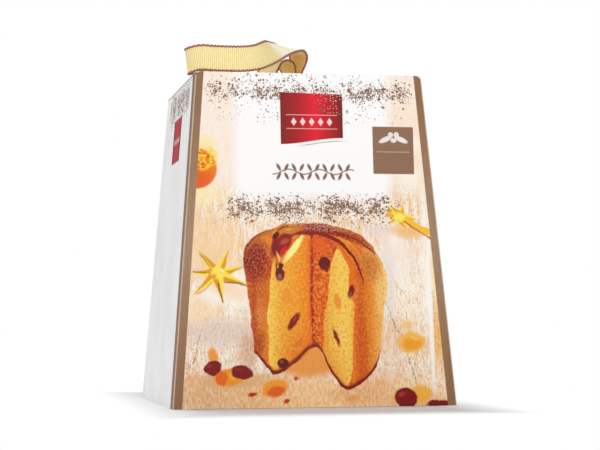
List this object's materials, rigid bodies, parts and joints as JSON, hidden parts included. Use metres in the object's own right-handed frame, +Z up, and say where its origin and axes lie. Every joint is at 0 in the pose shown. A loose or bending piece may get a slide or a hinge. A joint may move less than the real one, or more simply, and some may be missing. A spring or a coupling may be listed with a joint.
{
  "type": "panettone gift carton",
  "caption": "Tapered square gift carton for a tall cake, with a hinged tuck lid, a looped ribbon handle on top and a bagged cake in a paper mould inside.",
  "frame": {"origin": "on the ground, under the middle of the carton's square base", "axes": "+Z up to the lid and ribbon, the printed front panel faces -Y, +X to the right seen from the front"},
  "size_m": [0.212, 0.212, 0.2792],
  "materials": {
    "printed_board": "satin",
    "plain_board": "matte",
    "ribbon": "matte",
    "clip_steel": "satin",
    "cake": "matte",
    "mould_paper": "matte",
    "clear_film": "gloss",
    "gold_tie": "satin"
  },
  "bodies": {
    "carton": {"front_panel": "printed_board", "back_panel": "printed_board", "left_panel": "printed_board", "right_panel": "printed_board", "glue_flap": "plain_board", "bottom_flap_outer": "plain_board", "bottom_flap_inner": "plain_board", "bottom_side_flap_left": "plain_board", "bottom_side_flap_right": "plain_board", "panettone": "cake", "paper_mould": "mould_paper", "mould_base": "mould_paper", "film_bag": "clear_film", "bag_tie": "gold_tie"},
    "lid": {"lid_panel": "printed_board", "tuck_flap": "plain_board", "ribbon_handle": "ribbon", "ribbon_clip": "clip_steel"},
    "left_flap": {"dust_flap_left": "plain_board"},
    "right_flap": {"dust_flap_right": "plain_board"}
  },
  "joints": [
    {"name": "lid_hinge", "type": "hinge", "parent": "carton", "child": "lid", "pos_m": [0, 0.08615, 0.24725], "axis": [-1, 0, 0], "range_deg": [0, 165]},
    {"name": "left_flap_hinge", "type": "hinge", "parent": "carton", "child": "left_flap", "pos_m": [-0.0859, 0, 0.24635], "axis": [0, -1, 0], "range_deg": [0, 84]},
    {"name": "right_flap_hinge", "type": "hinge", "parent": "carton", "child": "right_flap", "pos_m": [0.0859, 0, 0.24635], "axis": [0, 1, 0], "range_deg": [0, 84]}
  ],
  "couplings": [
    {"joint": "left_flap_hinge", "follows": "lid_hinge", "ratio": 0.5},
    {"joint": "right_flap_hinge", "follows": "lid_hinge", "ratio": 0.5}
  ]
}
